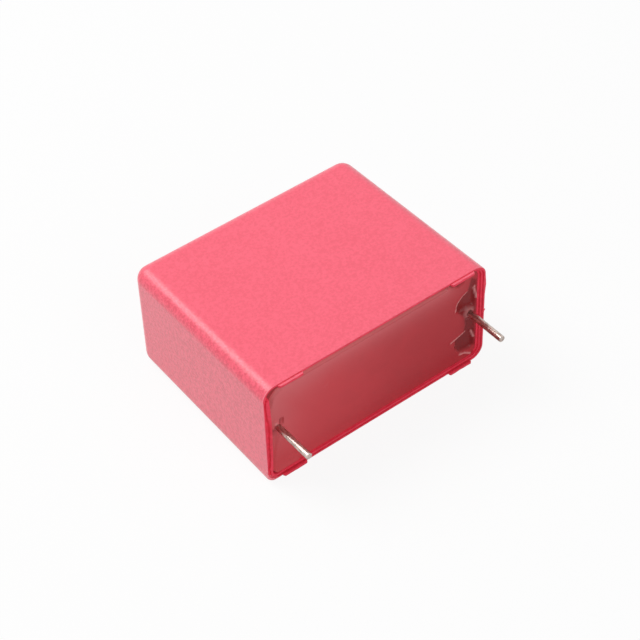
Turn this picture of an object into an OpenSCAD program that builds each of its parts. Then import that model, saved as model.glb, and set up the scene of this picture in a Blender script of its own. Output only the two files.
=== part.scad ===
// Box film capacitor: an open-mouthed moulded case, potted with resin round a
// flat-pressed roll of metallised film, with one wire lead at each end.
//
// Frame: the origin is midway between the leads, on the plane that the feet seat on.
// +X runs along the row of leads, +Y goes into the case towards its closed end,
// and +Z is the thickness, so the part lies on one broad side with its leads at -Y.

/* [Case] */
// Thickness of the case across its two broad walls
case_t = 14.6; // [9:0.1:24]
// Depth of the case from its rim to the outside of the closed end
case_d = 25.1; // [16:0.1:40]
// Wall at the two short ends
end_wall = 0.85; // [0.6:0.05:1.4]
// Wall at the two broad sides
side_wall = 0.7; // [0.5:0.05:1.4]
// Wall at the closed end
back_wall = 1; // [0.6:0.05:2]
// Outside radius of the case's edges and corners
edge_r = 1.7; // [1.5:0.05:2.5]
// How far each short end leans in by the closed end, so that the case leaves its mould
draft = 0.3; // [0:0.05:0.6]
// Width of the ledge inside the rim of each short end
ledge_w = 0.3; // [0.1:0.05:0.5]
// Depth of that ledge below the rim
ledge_d = 0.15; // [0.05:0.05:0.4]

/* [Feet] */
// Height of the feet above the rim
foot_h = 0.4; // [0.3:0.05:1.5]
// Length of each foot along its broad wall
foot_l = 3.35; // [2:0.05:6]
// Thickness of each foot
foot_t = 0.45; // [0.4:0.05:0.6]
// Gap between each foot and the rounding of the corner beside it
foot_gap = 0.3; // [0:0.05:1]
// How far each foot's outer face is set in from the broad side
foot_inset = 0.06; // [0:0.01:0.2]
// How much each end of a foot slopes in towards its tip
foot_slope = 0.15; // [0:0.05:0.5]

/* [Leads] */
// Distance between the axes of the two leads
pitch = 27.5; // [22:0.1:38]
// Diameter of the lead wire
lead_d = 0.8; // [0.6:0.05:1.2]
// Length of the leads beyond the feet
lead_out = 4.8; // [3:0.1:30]
// Resin between each lead and the short wall beside it
lead_gap = 0.75; // [0.3:0.05:2]
// How far the row of leads sits above the middle of the case's thickness
lead_offset = 0.4; // [0:0.05:0.8]
// Thickness that the wire is pressed to where it is welded on
weld_t = 0.45; // [0.3:0.05:0.6]
// Width of the pressed wire
weld_w = 1.1; // [0.8:0.1:1.6]
// How far the wire stays round inside its collar of resin
neck = 0.03; // [0.01:0.01:0.05]
// Length over which the round wire turns flat
flatten_l = 1; // [0.5:0.1:1.2]

/* [Winding] */
// Resin between the winding and the nearer broad wall
roll_gap = 0.45; // [0.2:0.05:1.5]
// Resin between the winding and the closed end
roll_back_gap = 0.7; // [0.3:0.1:2]
// Resin over the winding at the mouth
roll_cover = 1.4; // [0.8:0.1:4]
// Thickness of the plain film wrapped round the winding
wrap_t = 0.25; // [0.1:0.05:0.5]
// Thickness of the metal sprayed on each end of the winding
spray_t = 0.4; // [0.2:0.05:0.8]
// Bare border left round the sprayed metal
spray_inset = 0.2; // [0.1:0.05:0.6]
// How far the pressed wire stops short of the winding's far edge
weld_short = 5; // [2:0.5:10]

/* [Resin] */
// Depth of the resin's surface below the rim
resin_gap = 0.6; // [0.3:0.05:2]
// Height of the collar of resin that climbs each lead
collar_h = 0.55; // [0.5:0.01:0.6]
// Thickness of the collar at its foot
collar_foot = 0.35; // [0.3:0.01:0.4]
// Thickness of the collar at its top
collar_top = 0.08; // [0.05:0.01:0.15]
// Radius of the hollows where the resin sank as it set
sink_r = 1.45; // [0.8:0.05:1.6]
// Depth of those hollows
sink_deep = 0.4; // [0.1:0.05:0.5]
// Distance of the hollows beside the right lead, in from its axis
sink_in = 0.55; // [0:0.05:1]
// Height of the upper of these hollows above the leads
sink_up = 2.2; // [1:0.1:3]
// Distance of the lower one below the leads
sink_down = 4.6; // [3:0.1:5]
// Distance of the corner hollows from the upper broad wall
sink_wall = 1.1; // [0.5:0.1:1.3]
// Distance of the right corner hollow in from the lead's axis
sink_corner = 2.3; // [1.5:0.1:4]

/* [Hidden] */

$fn = 32;
LEFT = -1;
RIGHT = 1;
past = side_wall; // how far a cutting shape runs past the face that it cuts
skin = lead_d / 40; // thickness of the slices that a hull() joins

lead_r = lead_d / 2;
lead_x = pitch / 2;
case_l = pitch + 2 * (lead_r + lead_gap + end_wall);

rim_y = foot_h;
back_y = rim_y + case_d;
resin_y = rim_y + resin_gap;
mid_z = -lead_offset;

inner_l = case_l - 2 * end_wall;
inner_t = case_t - 2 * side_wall;
inner_r = edge_r - end_wall;

roll_l = pitch - weld_t - 2 * spray_t;
roll_t = inner_t - 2 * (lead_offset + roll_gap);
roll_front_y = resin_y + roll_cover;
roll_back_y = back_y - back_wall - roll_back_gap;
roll_w = roll_back_y - roll_front_y;
roll_y = (roll_front_y + roll_back_y) / 2;

// Hollows in the resin: [end, distance in from the lead, height above the row of leads]
corner_z = inner_t / 2 + mid_z - sink_wall;
sinks = [
    [RIGHT, sink_in, sink_up],
    [RIGHT, sink_in, -sink_down],
    [RIGHT, sink_corner, corner_z],
    [LEFT, 0, corner_z]
];

// A ball-nosed corner post, from the mouth to the closed end
module corner_post(front_y, nose_y, r, lean) {
    translate([0, front_y, 0])
        rotate([-90, 0, 0])
            cylinder(r1 = r, r2 = r - skin, h = skin);
    translate([-lean, nose_y - r, 0])
        rotate([-90, 0, 0])
            rotate_extrude()
                polygon([[0, 0], for (a = [0 : 90 / 8 : 90]) r * [cos(a), sin(a)]]);
}

// A round-edged box with leaning short ends, open to cutting at its front
module box_form(l, t, front_y, nose_y, r, lean) {
    translate([0, 0, mid_z])
        hull()
            for (end = [LEFT, RIGHT], side = [-1, 1])
                mirror([end == LEFT ? 1 : 0, 0, 0])
                    translate([l / 2 - r, 0, side * (t / 2 - r)])
                        corner_post(front_y, nose_y, r, lean);
}

// The space inside the case, which the resin fills
module cavity() {
    box_form(inner_l, inner_t, rim_y - past, back_y - back_wall, inner_r, draft);
}

// One foot, on the broad wall at side and near the end given
module foot(end, side) {
    root = side_wall;
    outer_x = case_l / 2 - edge_r - foot_gap;
    inner_x = outer_x - foot_l;
    outer_z = case_t / 2 - foot_inset;
    low_z = side > 0 ? outer_z - foot_t : -outer_z;
    mirror([end == LEFT ? 1 : 0, 0, 0])
        translate([0, 0, mid_z + low_z])
            linear_extrude(foot_t)
                polygon([
                    [outer_x, rim_y + root], [outer_x, rim_y], [outer_x - foot_slope, 0],
                    [inner_x + foot_slope, 0], [inner_x, rim_y], [inner_x, rim_y + root]
                ]);
}

module case() {
    color("#e0566c") {
        difference() {
            box_form(case_l, case_t, rim_y, back_y, edge_r, draft);
            cavity();
            translate([0, rim_y - past, mid_z])
                rotate([-90, 0, 0])
                    linear_extrude(past + ledge_d)
                        square([inner_l + 2 * ledge_w, inner_t - 2 * inner_r], center = true);
        }
        for (end = [LEFT, RIGHT], side = [-1, 1])
            foot(end, side);
    }
}

// A flat-pressed roll's oval section, drawn along X
module oval_bar(l, t, w) {
    translate([-l / 2, roll_y, 0])
        rotate([90, 0, 90])
            linear_extrude(l) {
                square([w - t, t], center = true);
                for (end = [-1, 1])
                    translate([end * (w - t) / 2, 0])
                        circle(d = t);
            }
}

module wound_element() {
    color("#cfd3d8")
        oval_bar(roll_l, roll_t - 2 * wrap_t, roll_w - 2 * wrap_t);
}

module outer_wrap() {
    color("#e9e4d2")
        difference() {
            oval_bar(roll_l, roll_t, roll_w);
            oval_bar(roll_l + 2 * past, roll_t - 2 * wrap_t, roll_w - 2 * wrap_t);
        }
}

// The metal sprayed on one end of the winding, which joins the film's edges to the lead
module end_contact(end) {
    color("#9aa0a6")
        translate([end * (roll_l + spray_t) / 2, 0, 0])
            oval_bar(spray_t, roll_t - 2 * spray_inset, roll_w - 2 * spray_inset);
}

// One lead: round outside, and pressed flat inside where it lies on its end contact
module lead(end) {
    neck_y = resin_y - collar_h + neck;
    flat_y = neck_y + flatten_l;
    color("#b9b2a6")
        translate([end * lead_x, 0, 0]) {
            translate([0, -lead_out, 0])
                rotate([-90, 0, 0])
                    cylinder(d = lead_d, h = lead_out + neck_y);
            hull() {
                translate([0, neck_y - 2 * skin, 0])
                    rotate([-90, 0, 0])
                        cylinder(d = lead_d - skin, h = skin);
                translate([-weld_t / 2, flat_y, -weld_w / 2])
                    cube([weld_t, skin, weld_w]);
            }
            translate([-weld_t / 2, flat_y, -weld_w / 2])
                cube([weld_t, roll_back_y - weld_short - flat_y, weld_w]);
        }
}

// A hollow in the resin's surface, cut as the cap of a large ball
module sink_mark(end, in, z) {
    ball_r = (sink_r ^ 2 + sink_deep ^ 2) / (2 * sink_deep);
    translate([end * (lead_x - in), resin_y + sink_deep - ball_r, z])
        sphere(r = ball_r);
}

// The collar of resin that climbs the foot of a lead
module collar(end) {
    translate([end * lead_x, resin_y - collar_h, 0])
        rotate([-90, 0, 0])
            cylinder(r1 = lead_r + collar_top, r2 = lead_r + collar_foot, h = collar_h);
}

module potting_resin() {
    color("#a63c46")
        difference() {
            union() {
                difference() {
                    cavity();
                    translate([-case_l / 2, rim_y - 2 * past, mid_z - case_t / 2])
                        cube([case_l, resin_gap + 2 * past, case_t]);
                    for (mark = sinks)
                        sink_mark(mark[0], mark[1], mark[2]);
                }
                for (end = [LEFT, RIGHT])
                    collar(end);
            }
            oval_bar(roll_l, roll_t, roll_w);
            for (end = [LEFT, RIGHT]) {
                end_contact(end);
                lead(end);
            }
        }
}

case();
potting_resin();
wound_element();
outer_wrap();
end_contact(LEFT);  // left_end_contact
end_contact(RIGHT);  // right_end_contact
lead(LEFT);  // left_lead
lead(RIGHT);  // right_lead
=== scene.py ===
import math

import bmesh
import bpy
from mathutils import Matrix, Vector


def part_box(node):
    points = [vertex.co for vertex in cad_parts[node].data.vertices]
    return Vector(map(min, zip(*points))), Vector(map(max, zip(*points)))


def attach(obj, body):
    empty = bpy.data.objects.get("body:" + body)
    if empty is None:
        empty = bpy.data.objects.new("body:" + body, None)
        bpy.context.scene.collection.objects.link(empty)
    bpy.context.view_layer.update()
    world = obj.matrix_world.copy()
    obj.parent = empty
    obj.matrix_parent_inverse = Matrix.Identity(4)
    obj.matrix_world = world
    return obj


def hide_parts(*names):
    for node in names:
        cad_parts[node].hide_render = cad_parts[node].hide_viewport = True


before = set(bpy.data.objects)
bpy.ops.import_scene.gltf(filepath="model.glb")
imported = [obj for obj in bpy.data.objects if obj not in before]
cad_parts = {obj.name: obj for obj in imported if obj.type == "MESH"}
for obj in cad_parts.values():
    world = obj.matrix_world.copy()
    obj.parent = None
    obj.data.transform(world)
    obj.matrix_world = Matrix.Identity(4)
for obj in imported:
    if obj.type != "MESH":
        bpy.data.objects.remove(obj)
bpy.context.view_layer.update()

# ---------------------------------------------------------------------------
# Moulded case
# The case is one injection moulding in red polyester, a box with thin walls
# that is open at its mouth. Its outside copies the spark-eroded grain of the
# mould, its short ends lean in for draft, and four feet stand on its rim.
# ---------------------------------------------------------------------------

MM = 0.001
case_low, case_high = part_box("case")
cavity_low, cavity_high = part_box("potting_resin")
foot_h = 0.4 * MM
rim_y = case_low.y + foot_h
end_wall = 0.85 * MM
side_wall = cavity_low.z - case_low.z
edge_r = 1.7 * MM
draft = 0.3 * MM
mid_z = (case_low.z + case_high.z) / 2
case_x = case_high.x
inner_x = case_x - end_wall


def pick(kind, wanted):
    """Selects the verts, edges or faces of the mesh being edited that are wanted."""
    mode = {"verts": "VERT", "edges": "EDGE", "faces": "FACE"}[kind]
    bpy.ops.mesh.select_mode(type=mode)
    bpy.ops.mesh.select_all(action="DESELECT")
    net = bmesh.from_edit_mesh(bpy.context.object.data)
    net.normal_update()
    found = [part for part in getattr(net, kind) if wanted(part)]
    for part in found:
        part.select_set(True)
    bmesh.update_edit_mesh(bpy.context.object.data)
    return found


def middle(part):
    """The mean place of an edge's or a face's corners."""
    return sum((v.co for v in part.verts), Vector()) / len(part.verts)


def push(x=0.0, y=0.0, z=0.0, **shape):
    """Moves what is selected."""
    bpy.ops.transform.translate(value=(x, y, z), **shape)


def stretch(x=1.0, y=1.0, z=1.0, about=(0, 0, 0)):
    """Scales what is selected about a point."""
    bpy.ops.transform.resize(value=(x, y, z), center_override=about)


def extrude(x=0.0, y=0.0, z=0.0):
    """Draws the selected faces or edges out to a new place."""
    bpy.ops.mesh.extrude_region_move(TRANSFORM_OT_translate={"value": (x, y, z)})


def cut(wanted, place, normal):
    """Cuts the wanted faces along a plane."""
    pick("faces", wanted)
    bpy.ops.mesh.bisect(plane_co=place, plane_no=normal, threshold=1e-7)


def new_piece(name, add, **place):
    """Starts a piece from a primitive and opens it for editing, with its place in its mesh."""
    bpy.ops.object.select_all(action="DESELECT")
    add(**place)
    piece = bpy.context.object
    piece.name = piece.data.name = name
    bpy.ops.object.transform_apply(location=True, rotation=True, scale=True)
    bpy.ops.object.mode_set(mode="EDIT")
    return piece


def close_piece(piece, smooth_deg=35):
    """Ends the editing of a piece, and shades its curved faces smooth."""
    bpy.ops.object.mode_set(mode="OBJECT")
    bpy.ops.object.select_all(action="DESELECT")
    piece.select_set(True)
    bpy.context.view_layer.objects.active = piece
    bpy.ops.object.shade_smooth_by_angle(angle=math.radians(smooth_deg))


def modify(piece, kind, **settings):
    """Adds a modifier with its settings and applies it."""
    modifier = piece.modifiers.new(kind.title(), kind)
    for name, value in settings.items():
        setattr(modifier, name, value)
    bpy.context.view_layer.objects.active = piece
    bpy.ops.object.modifier_apply(modifier=modifier.name)


case = new_piece(
    "moulded_case",
    bpy.ops.mesh.primitive_cube_add,
    size=1,
    location=(0, (rim_y + case_high.y) / 2, mid_z),
    scale=(2 * case_x, case_high.y - rim_y, case_high.z - case_low.z),
)
depth = case_high.y - rim_y
pick("faces", lambda f: f.normal.y > 0.9)
stretch(x=1 - draft * depth / (depth - edge_r) / case_x)
pick("edges", lambda e: middle(e).y > rim_y + 1e-6)
bpy.ops.mesh.bevel(offset=edge_r, segments=10, affect="EDGES")

# The wall's thickness is drawn on the mouth as an outer lip, a groove and an
# inner lip. The outer edge of the rim is broken.
rim_break = 0.1 * MM
lip = 0.28 * MM
groove_w = 0.18 * MM
inner_lip = side_wall - lip - groove_w
end_groove_w = 0.28 * MM
groove_d = 0.2 * MM
half_t = (case_high.z - case_low.z) / 2
pick("faces", lambda f: f.normal.y < -0.9)
bpy.ops.mesh.inset(thickness=lip)
bpy.ops.mesh.inset(thickness=groove_w)
stretch(x=(case_x - lip - end_groove_w) / (case_x - lip - groove_w))
bpy.ops.mesh.inset(thickness=inner_lip)
stretch(x=inner_x / (case_x - lip - end_groove_w - inner_lip))
pick("edges", lambda e: middle(e).y < rim_y + 1e-6 and e.calc_face_angle(0) > 1)
bpy.ops.mesh.bevel(offset=rim_break, segments=3, affect="EDGES")


def depth_in(c):
    """How far a place at the mouth lies inside the outline of the case."""
    across = abs(c.x) - (case_x - edge_r)
    up = abs(c.z - mid_z) - (half_t - edge_r)
    return edge_r - math.hypot(max(across, 0), max(up, 0)) - min(max(across, up), 0)


def on_rim(f):
    return f.normal.y < -0.99 and abs(middle(f).y - rim_y) < 1e-6 and len(f.verts) < 20


def by_mouth(v):
    return v.co.y < rim_y + groove_d + 1e-6


pick("faces", lambda f: on_rim(f) and lip < depth_in(middle(f)) < lip + 1.2 * groove_w)
extrude(y=groove_d)

# At the left end the groove wanders across the wall, and the inner lip beside
# its upper half stands up.
groove_x = -(case_x - lip - end_groove_w / 2)
for z, shift, rise in (
    (5.1, -0.10, 0.0), (4.2, -0.08, 0.10), (2.5, 0.08, 0.12), (1.3, 0.17, 0.10), (0.4, 0.23, 0.02),
    (-0.5, 0.20, 0.0), (-2.3, -0.03, 0.0), (-4.2, -0.12, 0.0), (-5.8, -0.16, 0.0),
):
    cut(lambda f: middle(f).y < rim_y + groove_d and middle(f).x < -inner_x, (0, 0, z * MM), (0, 0, 1))
    pick(
        "verts",
        lambda v: by_mouth(v) and abs(v.co.z - z * MM) < 1e-6 and abs(v.co.x - groove_x) < 0.15 * MM,
    )
    push(x=shift * MM)
    pick(
        "verts",
        lambda v: by_mouth(v) and abs(v.co.z - z * MM) < 1e-6 and abs(v.co.x + inner_x) < 0.02 * MM,
    )
    push(y=-rise * MM)

# A burr and a slight bulge on the right wall
for z, out, spread in ((3.6, 0.14, 1.6), (-0.5, 0.17, 0.22)):
    for step in (-spread, 0, spread):
        cut(
            lambda f: middle(f).y < rim_y + 0.9 * lip and middle(f).x > case_x - lip,
            (0, 0, (z + step) * MM),
            (0, 0, 1),
        )
    pick(
        "verts",
        lambda v: by_mouth(v) and abs(v.co.z - z * MM) < 1e-6 and v.co.x > case_x - 0.6 * lip,
    )
    push(x=out * MM)

# The inner lip lies lower along the upper wall, lowest at the left corner, and
# along the right wall.
def on_inner_lip(v):
    return abs(v.co.y - rim_y) < 1e-6 and depth_in(v.co) > lip + 0.9 * groove_w


pick("verts", lambda v: on_inner_lip(v) and v.co.z > case_high.z - 1.7 * MM and v.co.x < -case_x + 2.2 * MM)
push(y=0.5 * MM)
pick("verts", lambda v: on_inner_lip(v) and v.co.z > case_high.z - 1.9 * MM and v.co.x > case_x - 2.2 * MM)
push(y=0.45 * MM)
pick("verts", lambda v: on_inner_lip(v) and v.co.z > case_high.z - side_wall - 0.02 * MM)
push(y=0.18 * MM)
pick("verts", lambda v: on_inner_lip(v) and v.co.x > inner_x - 0.3 * MM)
push(y=0.4 * MM)

# The mouth is hollowed out down to the closed end.
pick("faces", lambda f: f.normal.y < -0.9 and len(f.verts) > 20)
extrude(y=cavity_high.y - rim_y)
stretch(y=0, about=(0, cavity_high.y, 0))
stretch(x=1 - draft / inner_x)
pick("edges", lambda e: abs(middle(e).y - cavity_high.y) < 1e-6 and e.calc_face_angle(0) > 1)
bpy.ops.mesh.bevel(offset=edge_r / 2, segments=4, affect="EDGES")

# Each foot rises from a thin neck on the outer lip and then steps out almost
# to the broad side.
foot_l = 3.35 * MM
foot_gap = 0.3 * MM
foot_inset = 0.06 * MM
foot_slope = 0.15 * MM
foot_neck = 0.1 * MM
neck_inset = 0.1 * MM
foot_step = 0.02 * MM
foot_fat = 0.1 * MM
foot_x = case_x - edge_r - foot_gap


def on_long_lip(f):
    return on_rim(f) and depth_in(middle(f)) < lip and abs(middle(f).z - mid_z) > half_t - lip


for end in (-1, 1):
    for part in (0, 0.22, 0.41, 0.55, 0.78, 1):
        cut(on_long_lip, (end * (foot_x - foot_l * part), rim_y, 0), (1, 0, 0))
pick("faces", lambda f: on_long_lip(f) and foot_x - foot_l < abs(middle(f).x) < foot_x)
extrude(y=-foot_neck)
for side in (-1, 1):
    pick(
        "verts",
        lambda v: v.co.y < rim_y - foot_neck / 2 and (v.co.z - mid_z) * side > half_t - 0.6 * lip,
    )
    push(z=-side * neck_inset)
pick("faces", lambda f: f.normal.y < -0.9 and middle(f).y < rim_y - foot_neck / 2)
extrude(y=-foot_step)
for side in (-1, 1):
    for outer in (True, False):
        pick(
            "verts",
            lambda v: v.co.y < rim_y - foot_neck - foot_step / 2
            and (v.co.z - mid_z) * side > 0
            and ((v.co.z - mid_z) * side > half_t - 0.9 * lip) == outer,
        )
        push(z=side * (rim_break + neck_inset - foot_inset if outer else -foot_fat))
pick("faces", lambda f: f.normal.y < -0.9 and middle(f).y < rim_y - foot_neck)
extrude(y=-(foot_h - foot_neck - foot_step))
for end in (-1, 1):
    for x, way in ((foot_x, -1), (foot_x - foot_l, 1)):
        pick(
            "verts",
            lambda v: v.co.y < case_low.y + 1e-6 and abs(v.co.x - end * x) < 1e-5,
        )
        push(x=end * way * foot_slope)
pick("verts", lambda v: v.co.y < case_low.y + 1e-6)
bpy.ops.transform.vertex_random(offset=0.035 * MM, uniform=0.2, normal=0, seed=7)
pick("verts", lambda v: v.co.y < case_low.y)
stretch(y=0.3, about=(0, case_low.y, 0))

# The lower left corner of the mouth came out of the mould a little sharper.
pick("verts", lambda v: v.co.x < -case_x + 0.6 * edge_r and v.co.z < case_low.z + 0.6 * edge_r and v.co.y < rim_y + MM)
push(
    x=-0.16 * MM,
    z=-0.16 * MM,
    use_proportional_edit=True,
    proportional_edit_falloff="SMOOTH",
    proportional_size=1.0 * MM,
)
pick("verts", lambda v: v.co.z < case_low.z)
stretch(z=0, about=(0, 0, case_low.z))
pick("verts", lambda v: v.co.x < -case_x)
stretch(x=0, about=(-case_x, 0, 0))
pick(
    "edges",
    lambda e: middle(e).y < rim_y + 0.6 * MM and e.is_manifold and e.calc_face_angle(0) > 0.9,
)
bpy.ops.mesh.bevel(offset=0.03 * MM, segments=1, affect="EDGES")
close_piece(case)
modify(case, "WEIGHTED_NORMAL", keep_sharp=True)


class Wire:
    """One output of a material's nodes. Arithmetic on it adds Math nodes."""

    def __init__(self, finish, socket):
        self.finish, self.socket = finish, socket

    def _math(self, operation, first, second):
        return self.finish.node("Math", {"operation": operation}, {0: first, 1: second})

    def __add__(self, other):
        return self._math("ADD", self, other)

    def __sub__(self, other):
        return self._math("SUBTRACT", self, other)

    def __rsub__(self, other):
        return self._math("SUBTRACT", other, self)

    def __mul__(self, other):
        return self._math("MULTIPLY", self, other)

    def __truediv__(self, other):
        return self._math("DIVIDE", self, other)

    def __abs__(self):
        return self.finish.node("Math", {"operation": "ABSOLUTE"}, {0: self})

    __radd__ = __add__
    __rmul__ = __mul__


class Finish:
    """A node material that is built one node at a time."""

    def __init__(self, name, **constants):
        self.material = bpy.data.materials.new(name)
        self.material.use_nodes = True
        self.tree = self.material.node_tree
        self.tree.nodes.clear()
        out = self.tree.nodes.new("ShaderNodeOutputMaterial")
        self.shader = self.tree.nodes.new("ShaderNodeBsdfPrincipled")
        self.tree.links.new(self.shader.outputs[0], out.inputs["Surface"])
        for socket, value in constants.items():
            self.shader.inputs[socket.replace("_", " ")].default_value = value
        self.place = self.node("TexCoord", output="Object")

    def feed(self, socket, value):
        if isinstance(value, Wire):
            self.tree.links.new(value.socket, socket)
        else:
            socket.default_value = value

    def node(self, kind, settings=None, inputs=None, output=0):
        made = self.tree.nodes.new("ShaderNode" + kind)
        for name, value in (settings or {}).items():
            if name == "stops":
                while len(made.color_ramp.elements) < len(value):
                    made.color_ramp.elements.new(0.5)
                for stop, (at, colour) in zip(made.color_ramp.elements, value):
                    stop.position, stop.color = at, colour
            else:
                setattr(made, name, value)
        for key, value in (inputs or {}).items():
            self.feed(made.inputs[key], value)
        return Wire(self, made.outputs[output])

    def mix(self, factor, a, b, blend="MIX"):
        """Mixes two colours."""
        return self.node(
            "Mix",
            {"data_type": "RGBA", "blend_type": blend},
            {0: factor, 6: a, 7: b},
            output=2,
        )

    def noise(self, grain, detail=2.0, rough=0.5, place=None):
        """Noise whose grains are about so many metres across."""
        return self.node(
            "TexNoise",
            {"noise_dimensions": "3D"},
            {"Vector": place or self.place, "Scale": 1 / grain, "Detail": detail, "Roughness": rough},
        )

    def band(self, value, low, high):
        """0 below low, 1 above high, and smooth between them."""
        return self.node(
            "MapRange",
            {"interpolation_type": "SMOOTHSTEP"},
            {"Value": value, "From Min": low, "From Max": high},
        )

    def axes(self, place=None):
        split = self.node("SeparateXYZ", None, {0: place or self.place}).socket.node
        return [Wire(self, s) for s in split.outputs]

    def surface(self, **varying):
        """Joins what varies over the surface to the shader."""
        for socket, value in varying.items():
            self.feed(self.shader.inputs[socket.replace("_", " ")], value)
        return self.material

    def bump(self, height, depth, under=None):
        """The normal of a surface whose height, from 0 to 1, is so many metres."""
        inputs = {"Height": height, "Distance": depth, "Strength": 1.0}
        if under is not None:
            inputs["Normal"] = under
        return self.node("Bump", None, inputs)


def dress(piece, material):
    """Puts one material on a piece."""
    if piece.material_slots:
        for slot in piece.material_slots:
            slot.material = material
    else:
        piece.data.materials.append(material)


plastic_red = (0.845, 0.098, 0.152, 1)
plastic_pale = (0.925, 0.120, 0.186, 1)
# A darker red for specks of painted shade on the end walls.
plastic_grain_shade = (0.66, 0.050, 0.090, 1)
# A pale pink used as a painted highlight.
plastic_edge_highlight = (0.98, 0.24, 0.30, 1)
plastic_bare = (0.90, 0.056, 0.105, 1)
plastic_bare_dark = (0.80, 0.045, 0.085, 1)

grained = Finish("grained_red_plastic", IOR=1.5, Sheen_Weight=0.35, Sheen_Roughness=0.4)
x, y, z = grained.axes()
cloud = grained.noise(5 * MM, 3)
grain = grained.noise(0.32 * MM, 3, 0.6)
fine = grained.noise(0.14 * MM, 1)
shade = grained.band(cloud * 0.15 + grain * 0.85, 0.36, 0.62)
on_end = grained.band(abs(x), case_x - 1.2 * edge_r, case_x - 0.4 * edge_r)
# On the end walls the real grain gets extra dark specks, which are painted shade from grazing light on the grain.
grain_shade = grained.band(grained.noise(0.36 * MM, 2, 0.7), 0.56, 0.40) * on_end
# A pale band along the outer edge of the mouth on the end walls is a painted highlight on the rounded edge.
edge_highlight = grained.band(y, rim_y + 0.16 * MM, rim_y + 0.05 * MM) * on_end
body_colour = grained.mix(shade, plastic_red, plastic_pale)
body_colour = grained.mix(grain_shade * 0.55, body_colour, plastic_grain_shade)
grained.surface(
    Base_Color=grained.mix(edge_highlight * 0.8, body_colour, plastic_edge_highlight),
    Roughness=0.28 + 0.1 * grain,
    Normal=grained.bump(grain * 0.7 + fine * 0.3, 0.05 * MM),
)

# The rim, the feet and the inside have no grain.
smooth = Finish("smooth_red_plastic", IOR=1.5, Specular_IOR_Level=0.15)
streaks = smooth.noise(0.6 * MM, 3)
smooth.surface(
    Base_Color=smooth.mix(smooth.band(streaks, 0.35, 0.65), plastic_bare_dark, plastic_bare),
    Roughness=0.35 + 0.2 * streaks,
    Normal=smooth.bump(streaks, 0.02 * MM),
)
case.data.materials.append(grained.material)
case.data.materials.append(smooth.material)
for face in case.data.polygons:
    c = face.center
    foot_side = abs(face.normal.z) > 0.7 and (c.z - mid_z) * face.normal.z > 0
    bare_rim = c.y < rim_y + 0.02 * MM and depth_in(c) > 0.8 * rim_break and not foot_side
    bare_wall = c.y < cavity_high.y - edge_r and depth_in(c) > 0.8 * lip
    face.material_index = int(bare_rim or bare_wall)
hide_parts("case")
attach(case, "root")

# ---------------------------------------------------------------------------
# Lead wires
# Each lead is tinned wire, cut off square outside the case. Inside, it is
# pressed flat and welded to the metal sprayed on its end of the winding.
# ---------------------------------------------------------------------------

lead_r = 0.4 * MM
lead_x = 13.75 * MM
lead_neck_y = 0.48 * MM
lead_flat_y = 1.48 * MM
lead_press = (0.5625, 1.375)
lead_knob = 0.012 * MM

tin = Finish("tinned_wire", Metallic=1.0)
x, y, z = tin.axes()
drawn = tin.node("Mapping", None, {"Vector": tin.place, "Scale": (1, 0.12, 1)})
streak = tin.noise(0.16 * MM, 3, 0.6, drawn)
dull = tin.noise(0.7 * MM, 3, 0.6)
tin_bright = (0.68, 0.60, 0.55, 1)
tin_dull = (0.40, 0.31, 0.27, 1)
copper = (0.72, 0.42, 0.27, 1)
tinned = tin.mix(tin.band(streak * 0.5 + dull * 0.5, 0.4, 0.62), tin_dull, tin_bright)
tinned = tin.mix(tin.band(dull, 0.55, 0.75) * 0.35, tinned, copper)
tin_finish = tin.surface(
    Base_Color=tinned,
    Roughness=0.2 + 0.22 * dull,
    Normal=tin.bump(streak, 0.012 * MM),
)

leads = []
for name, end in (("left_lead", -1), ("right_lead", 1)):
    low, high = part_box(name)
    lead = new_piece(
        name + "_wire",
        bpy.ops.mesh.primitive_cylinder_add,
        vertices=32,
        radius=lead_r,
        depth=lead_neck_y - low.y,
        location=(end * lead_x, (low.y + lead_neck_y) / 2, 0),
        rotation=(math.radians(-90), 0, 0),
    )
    pick("faces", lambda f: f.normal.y > 0.9)
    extrude(y=lead_flat_y - lead_neck_y)
    stretch(x=lead_press[0], z=lead_press[1], about=(end * lead_x, lead_flat_y, 0))
    extrude(y=high.y - lead_flat_y)
    for step in range(1, 24):
        cut(lambda f: True, (0, low.y + 0.2 * MM * step, 0), (0, 1, 0))
    pick("verts", lambda v: low.y + 0.1 * MM < v.co.y < lead_neck_y - 0.1 * MM)
    bpy.ops.transform.vertex_random(offset=lead_knob, uniform=0.0, normal=0.6, seed=3 + end)
    pick("edges", lambda e: middle(e).y < low.y + 1e-6)
    bpy.ops.mesh.bevel(offset=0.06 * MM, segments=2, affect="EDGES")
    close_piece(lead)
    dress(lead, tin_finish)
    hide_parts(name)
    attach(lead, "root")
    leads.append(lead)

# ---------------------------------------------------------------------------
# Potting resin
# The case is filled with red casting resin round the winding, poured to just
# below the rim. It crept up the walls and the leads, and sank in places as it
# set, which left glossy hollows with raised edges by the leads.
# ---------------------------------------------------------------------------

resin_y = rim_y + 0.6 * MM
resin_mesh = 0.12 * MM
resin_x = cavity_high.x
resin_half = Vector((resin_x, 0, (cavity_high.z - cavity_low.z) / 2))
resin_r = edge_r - side_wall

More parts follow.
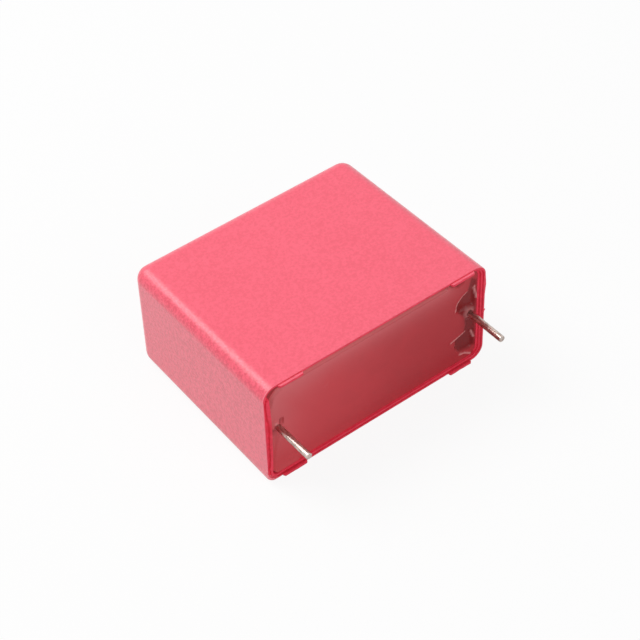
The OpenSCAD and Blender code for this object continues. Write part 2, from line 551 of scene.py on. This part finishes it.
resin = new_piece(
    "potting_resin_fill",
    bpy.ops.mesh.primitive_grid_add,
    x_subdivisions=round(2 * resin_half.x / resin_mesh),
    y_subdivisions=round(2 * resin_half.z / resin_mesh),
    size=1,
    location=(0, resin_y, mid_z),
    rotation=(math.radians(90), 0, 0),
)
stretch(x=2 * resin_half.x, z=2 * resin_half.z, about=(0, resin_y, mid_z))
net = bmesh.from_edit_mesh(resin.data)
for v in net.verts:
    u = abs(v.co.x) - (resin_half.x - resin_r)
    w = abs(v.co.z - mid_z) - (resin_half.z - resin_r)
    if u > 0 and w > 0:
        u, w = min(1, u / resin_r), min(1, w / resin_r)
        v.co.x = math.copysign(resin_half.x - resin_r + resin_r * u * math.sqrt(1 - w * w / 2), v.co.x)
        v.co.z = mid_z + math.copysign(
            resin_half.z - resin_r + resin_r * w * math.sqrt(1 - u * u / 2), v.co.z - mid_z
        )
bmesh.update_edit_mesh(resin.data)


def shift_resin(wanted, height, reach, falloff="SMOOTH"):
    """Raises or sinks the wanted points of the resin, and drags their neighbours along."""
    if pick("verts", wanted):
        push(
            y=-height * MM,
            use_proportional_edit=True,
            proportional_edit_falloff=falloff,
            proportional_size=reach * MM,
        )


def gap(path, v):
    """How far a point is from a line of (x, z) places, all in millimetres."""
    p = Vector((v.co.x, v.co.z)) / MM
    least = 1e9
    for a, b in zip(path, path[1:] + path[-1:]):
        a, run = Vector(a), Vector(b) - Vector(a)
        t = max(0, min(1, (p - a).dot(run) / run.length_squared)) if run.length else 0
        least = min(least, (a + run * t - p).length)
    return least


def near(path, width):
    return lambda v: gap(path, v) < width


def within(outline):
    """Whether a point lies inside an outline of (x, z) places, all in millimetres."""

    def wanted(v):
        x, z = v.co.x / MM, v.co.z / MM
        inside = False
        for (x1, z1), (x2, z2) in zip(outline, outline[1:] + outline[:1]):
            if (z1 > z) != (z2 > z) and x < x1 + (z - z1) / (z2 - z1) * (x2 - x1):
                inside = not inside
        return inside

    return wanted


# The climb along the walls, highest at the lower wall and its left corner
shift_resin(lambda v: v.is_boundary, 0.1, 0.8, "SHARP")
shift_resin(lambda v: v.is_boundary and v.co.z < cavity_low.z + 0.1 * MM, 0.16, 1.6, "SHARP")
shift_resin(near([(-14.6, -6.9), (-11.5, -6.95)], 0.15), 0.2, 1.0, "SHARP")
# The surface is a plateau whose edge runs along the upper wall and round the
# left corner. It rounds off towards that edge and drops behind it.
plateau_edge = [
    (-14.75, 0.6), (-14.6, 1.8), (-14.4, 2.9), (-14.0, 4.15), (-13.3, 4.85), (-12.4, 5.12),
    (-11.2, 5.2), (-9, 5.2), (-4, 5.18), (2, 5.2), (7, 5.2), (10.6, 5.15),
]
behind = within(plateau_edge + [(10.8, 6.4), (-15, 6.4), (-15, 0.6)])
shift_resin(behind, -0.16, 1.9, "SHARP")
shift_resin(behind, -0.3, 0.25)
shift_resin(near([(-14.88, 4.4), (-14.88, 0.9)], 0.1), 0.42, 0.5, "SHARP")
# The bubble, the bead, the pit and the crease by the left lead
bubble = [(-13.1, 0.35), (-13.2, -0.15)]
pit = [(-14.5, -0.7), (-13.7, -1.0), (-13.0, -1.3)]
shift_resin(near(bubble, 0.12), -0.3, 0.36, "SPHERE")
shift_resin(near([(-13.75, 0)], 0.42), 0.3, 0.75, "SHARP")
shift_resin(near([(-13.75, 0.5)], 0.1), 0.15, 0.3, "SPHERE")
shift_resin(near(pit, 0.12), -0.3, 0.6)
shift_resin(near([(-13.5, -1.8), (-13.95, -3.8), (-14.4, -6.9)], 0.06), 0.07, 0.3)
shift_resin(within([(-13.6, -1.8), (-14.1, -3.8), (-14.6, -7), (-15, -7), (-15, -1.8)]), -0.12, 0.4)
shift_resin(near([(-12.2, -6.3)], 0.1), 0.1, 0.45)
shift_resin(near([(-6.9, 1.9)], 0.1), 0.05, 0.4)
# The right end: glossy pools, and the ridge of the lead between them
pools = (
    [(13.4, 3.3), (12.6, 2.9), (12.05, 2.3), (11.8, 1.15), (12.3, 0.4), (13.2, 0.6), (14.8, 0.8), (14.8, 3.6)],
    [(11.9, -3.5), (13.3, -2.95), (14.8, -3.0), (14.8, -5.9), (14.2, -6.2), (12.6, -6.1), (11.8, -5.0)],
    [(10.7, 6.3), (10.9, 5.3), (12.2, 4.6), (12.9, 4.9), (13.5, 6.3)],
)
for pool in pools:
    shift_resin(lambda v: within(pool)(v) and gap(pool + pool[:1], v) > 0.3, -0.3, 0.45)
shift_resin(near([(13.75, 0)], 0.42), 0.34, 0.9, "SHARP")
crests = (
    [(13.4, 3.3), (12.6, 2.9), (12.05, 2.3), (11.8, 1.15)],
    [(14.5, 3.7), (14.85, 1.7)],
    [(11.2, -3.5), (13.3, -2.9)],
    [(14.45, -3.6), (14.7, -4.6)],
    [(12.55, -6.2), (13.3, -6.35), (14.1, -6.8)],
)
for crest_glint in crests:
    shift_resin(near(crest_glint, 0.06), 0.1, 0.25)

# The body below the surface, down to the closed end
resin_back_y = cavity_high.y
rim_loop = pick("edges", lambda e: e.is_boundary)
extrude(y=1 * MM)
pick("verts", lambda v: v.is_boundary)
stretch(y=0, about=(0, resin_y + 1 * MM, 0))
pick("edges", lambda e: e.is_boundary)
extrude(y=resin_back_y - resin_y - 1 * MM)
stretch(x=(inner_x - draft) / resin_x)
bpy.ops.mesh.edge_face_add()
pick("edges", lambda e: abs(middle(e).y - resin_back_y) < 1e-6)
bpy.ops.mesh.bevel(offset=edge_r / 2, segments=3, affect="EDGES")
bpy.ops.mesh.select_all(action="SELECT")
bpy.ops.mesh.normals_make_consistent(inside=False)
close_piece(resin, 40)

# The winding and the leads leave their own shape in it.
wrap_low, wrap_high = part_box("outer_wrap")
contact_low, contact_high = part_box("right_end_contact")
wrap_half_t = (wrap_high.z - wrap_low.z) / 2
wrap_mid_y = (wrap_high.y + wrap_low.y) / 2
pocket = new_piece(
    "winding_pocket",
    bpy.ops.mesh.primitive_cylinder_add,
    vertices=96,
    radius=wrap_half_t,
    depth=2 * wrap_high.x,
    location=(0, wrap_mid_y, 0),
    rotation=(0, math.radians(90), 0),
)
for way in (-1, 1):
    pick("verts", lambda v: (v.co.y - wrap_mid_y) * way > 1e-6)
    push(y=way * (wrap_high.y - wrap_mid_y - wrap_half_t))
for way in (-1, 1):
    pick("faces", lambda f: f.normal.x * way > 0.9)
    bpy.ops.mesh.inset(thickness=wrap_high.z - contact_high.z)
    extrude(x=way * (contact_high.x - wrap_high.x))
close_piece(pocket)
for filler in (pocket, *leads):
    modify(resin, "BOOLEAN", operation="DIFFERENCE", solver="EXACT", object=filler)
bpy.data.objects.remove(pocket)

# How much of each painted tone a point of the surface has: red for painted
# shade in the glossy pools, the left corner, the bubble and the pit, green for
# painted glints on the sharp crests, the bead and the plateau's edge, and blue
# for a painted sheen beside the plateau's edge.
# Outlines where shade is painted: the pools at the right end, and the left corner.
shaded_pool_areas = (
    [
        (13.4, 3.3), (12.6, 2.9), (12.05, 2.3), (11.8, 1.15), (12.4, 0.2), (13.0, -0.6), (13.2, -1.8),
        (13.0, -2.85), (11.9, -3.4), (11.8, -5.0), (12.6, -6.1), (14.2, -6.3), (14.95, -5.9),
        (14.95, 4.6), (14.0, 5.4),
    ],
    pools[2],
)
left_corner_shade = [
    (-14.95, 6.3), (-14.95, 2.3), (-14.6, 2.9), (-14.1, 4.3), (-13.3, 5.0), (-12.3, 5.3), (-11.4, 5.4), (-11.2, 6.3),
]
tones = resin.data.attributes.new("tones", "FLOAT_COLOR", "POINT")
for v, tone in zip(resin.data.vertices, tones.data):
    tone.color = (0, 0, 0, 1)
    if v.co.y < resin_y + 1 * MM:
        painted_shade = crest_glint = 0
        edge_gap = gap(plateau_edge, v)
        if v.co.x > 10 * MM:
            painted_shade = max(min(1, gap(area + area[:1], v) / 0.3) if within(area)(v) else 0 for area in shaded_pool_areas)
            # Painted glints: on the crests and in a ring round the right lead here, on the bead by the left lead and
            # along the plateau's edge below.
            crest_glint = max(1 - gap(line, v) / 0.14 for line in crests)
            crest_glint = max(crest_glint, 0.4 - abs(gap([(13.75, 0)], v) - 0.5))
        elif v.co.x < -11 * MM:
            painted_shade = max(0.7 - gap(bubble, v) / 0.5, 0.6 - gap(pit, v) / 0.6, 0.7 if within(left_corner_shade)(v) else 0)
            crest_glint = 0.8 - gap([(-13.95, 0.45)], v) / 0.35
        crest_glint = max(crest_glint, 0.45 * (1 - edge_gap / 0.2))
        # A painted sheen beside the plateau's edge, reaching further towards the left.
        reach = 1.2 + 1.5 * max(0, min(1, (-6 - v.co.x / MM) / 6))
        edge_sheen = 0 if behind(v) else math.exp(-edge_gap / reach)
        tone.color = (max(0, min(1, painted_shade)), max(0, crest_glint), edge_sheen, 1)

resin_dark = (0.46, 0.034, 0.044, 1)
resin_red = (0.61, 0.050, 0.064, 1)
# The darkest resin colour is painted shade and dark reflection for the pools and recesses.
resin_shade = (0.19, 0.006, 0.008, 1)
# The palest resin colour is a painted glint.
resin_glint = (0.85, 0.38, 0.38, 1)
# A greyish pink used as painted sheen.
resin_sheen = (0.66, 0.17, 0.185, 1)
cast = Finish("dark_red_resin", IOR=1.5, Specular_IOR_Level=0.15)
x, y, z = cast.axes()
mottle = cast.noise(2.5 * MM, 4, 0.55)
speck = cast.noise(0.25 * MM, 2)
tone = cast.node("SeparateColor", None, {0: cast.node("Attribute", {"attribute_name": "tones"})}).socket.node
painted_shade, crest_glint, edge_sheen = (Wire(cast, s) for s in tone.outputs)
# A painted sheen that makes the resin lighter and greyer towards its left end.
left_sheen = cast.band(x, 15 * MM, -16 * MM)
skin = cast.mix(cast.band(mottle * 0.35 + left_sheen * 0.65, 0.2, 0.8), resin_dark, resin_red)
# Painted sheen beside the plateau's edge, and a little more towards the left end.
skin = cast.mix(edge_sheen * 0.75 + left_sheen * 0.14, skin, resin_sheen)
# Painted shade in the pools, the left corner, the bubble and the pit.
skin = cast.mix(painted_shade * 0.85, skin, resin_shade)
# Painted glints on the crests, the bead and the plateau's edge.
skin = cast.mix(crest_glint * 0.9, skin, resin_glint)
dress(
    resin,
    cast.surface(
        Base_Color=skin,
        Roughness=0.34 + 0.16 * mottle - 0.2 * painted_shade,
        Normal=cast.bump(speck, 0.012 * MM),
    ),
)
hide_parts("potting_resin")
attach(resin, "root")

# ---------------------------------------------------------------------------
# Wound element
# A roll of two metallised polypropylene films, pressed flat. Its ends show the
# edges of the films.
# ---------------------------------------------------------------------------

film = Finish("metallised_film", Metallic=0.9)
x, y, z = film.axes()
layers = film.node("TexNoise", None, {"Vector": film.node("Mapping", None, {"Vector": film.place, "Scale": (0.02, 1, 1)}), "Scale": 1 / (0.15 * MM), "Detail": 1.0})
dress(
    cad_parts["wound_element"],
    film.surface(
        Base_Color=film.mix(layers, (0.62, 0.64, 0.67, 1), (0.78, 0.80, 0.83, 1)),
        Roughness=0.2 + 0.2 * layers,
        Normal=film.bump(layers, 0.01 * MM),
    ),
)

# ---------------------------------------------------------------------------
# Outer wrap
# Turns of plain film close the roll. They are heat-shrunk, cloudy and ribbed.
# ---------------------------------------------------------------------------

wrap = Finish("cloudy_film", IOR=1.49)
haze = wrap.noise(3 * MM, 3)
rib = wrap.noise(0.4 * MM, 1, 0.5, wrap.node("Mapping", None, {"Vector": wrap.place, "Scale": (1, 0.05, 0.05)}))
dress(
    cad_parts["outer_wrap"],
    wrap.surface(
        Base_Color=wrap.mix(haze, (0.75, 0.72, 0.62, 1), (0.88, 0.86, 0.79, 1)),
        Roughness=0.25 + 0.2 * haze,
        Normal=wrap.bump(rib, 0.02 * MM),
    ),
)

# ---------------------------------------------------------------------------
# End contacts
# Molten zinc is sprayed on each end of the roll. It sets as a grey, grainy skin
# that joins the edges of the films to the lead.
# ---------------------------------------------------------------------------

zinc = Finish("sprayed_zinc", Metallic=0.85)
crumb = zinc.noise(0.3 * MM, 4, 0.7)
zinc_finish = zinc.surface(
    Base_Color=zinc.mix(crumb, (0.33, 0.34, 0.36, 1), (0.58, 0.59, 0.61, 1)),
    Roughness=0.55 + 0.25 * crumb,
    Normal=zinc.bump(crumb, 0.08 * MM),
)
for name in ("left_end_contact", "right_end_contact"):
    dress(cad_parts[name], zinc_finish)

# ---------------------------------------------------------------------------
# Stage
# ---------------------------------------------------------------------------

floor_size = 6.0
bpy.ops.object.select_all(action="DESELECT")
bpy.ops.mesh.primitive_plane_add(size=floor_size, location=(0, 0, case_low.z))
floor = bpy.context.object
floor.name = "floor"
paper = bpy.data.materials.new("white_paper")
paper.use_nodes = True
tree = paper.node_tree
tree.nodes.clear()
out = tree.nodes.new("ShaderNodeOutputMaterial")
matte = tree.nodes.new("ShaderNodeBsdfDiffuse")
matte.inputs["Color"].default_value = (0.8, 0.8, 0.8, 1)
glow = tree.nodes.new("ShaderNodeEmission")
glow.inputs["Color"].default_value = (1, 1, 1, 1)
glow.inputs["Strength"].default_value = 1.0
seen = tree.nodes.new("ShaderNodeLightPath")
glossy = tree.nodes.new("ShaderNodeMath")
glossy.operation = "MULTIPLY"
glossy.inputs[1].default_value = 0.3
tree.links.new(seen.outputs["Is Glossy Ray"], glossy.inputs[0])
share = tree.nodes.new("ShaderNodeMath")
share.operation = "MULTIPLY_ADD"
share.inputs[1].default_value = 0.9
tree.links.new(seen.outputs["Is Camera Ray"], share.inputs[0])
tree.links.new(glossy.outputs[0], share.inputs[2])
blend = tree.nodes.new("ShaderNodeMixShader")
tree.links.new(share.outputs[0], blend.inputs[0])
tree.links.new(matte.outputs[0], blend.inputs[1])
tree.links.new(glow.outputs[0], blend.inputs[2])
tree.links.new(blend.outputs[0], out.inputs["Surface"])
floor.data.materials.append(paper)

world = bpy.data.worlds.new("room")
bpy.context.scene.world = world
world.use_nodes = True
tree = world.node_tree
tree.nodes.clear()
out = tree.nodes.new("ShaderNodeOutputWorld")
room = tree.nodes.new("ShaderNodeBackground")
room.inputs["Color"].default_value = (1, 1, 1, 1)
room.inputs["Strength"].default_value = 0.40
white = tree.nodes.new("ShaderNodeBackground")
white.inputs["Color"].default_value = (1, 1, 1, 1)
white.inputs["Strength"].default_value = 1.0
seen = tree.nodes.new("ShaderNodeLightPath")
blend = tree.nodes.new("ShaderNodeMixShader")
either = tree.nodes.new("ShaderNodeMath")
either.operation = "MAXIMUM"
tree.links.new(seen.outputs["Is Camera Ray"], either.inputs[0])
tree.links.new(seen.outputs["Is Glossy Ray"], either.inputs[1])
tree.links.new(either.outputs[0], blend.inputs[0])
tree.links.new(room.outputs[0], blend.inputs[1])
tree.links.new(white.outputs[0], blend.inputs[2])
tree.links.new(blend.outputs[0], out.inputs["Surface"])


def softbox(name, place, aim, size, power):
    light = bpy.data.lights.new(name, "AREA")
    light.shape = "SQUARE"
    light.size = size
    light.energy = power
    lamp = bpy.data.objects.new(name, light)
    bpy.context.scene.collection.objects.link(lamp)
    lamp.location = place
    lamp.rotation_euler = (Vector(aim) - Vector(place)).to_track_quat("-Z", "Y").to_euler()
    return lamp


softbox("key_light", (-0.147, 0.24, 0.35), (0, 0.01, 0), 0.26, 1.4)
softbox("front_light", (0.05, -0.42, 0.3), (0, 0.01, 0), 0.35, 0.8)

camera_data = bpy.data.cameras.new("camera")
camera_data.sensor_width = 36
camera_data.lens = 109.139
camera_data.clip_start = 0.01
camera = bpy.data.objects.new("camera", camera_data)
bpy.context.scene.collection.objects.link(camera)
bpy.context.scene.camera = camera
camera_azimuth, camera_elevation, camera_roll = -36.682, 44.659, -2.122
camera.matrix_world = (
    Matrix.Translation(Vector((-94.081, -115.434, 155.452)) * MM)
    @ Matrix.Rotation(math.radians(camera_azimuth), 4, "Z")
    @ Matrix.Rotation(math.radians(90 - camera_elevation), 4, "X")
    @ Matrix.Rotation(math.radians(camera_roll), 4, "Z")
)
bpy.context.scene.view_settings.view_transform = "Standard"
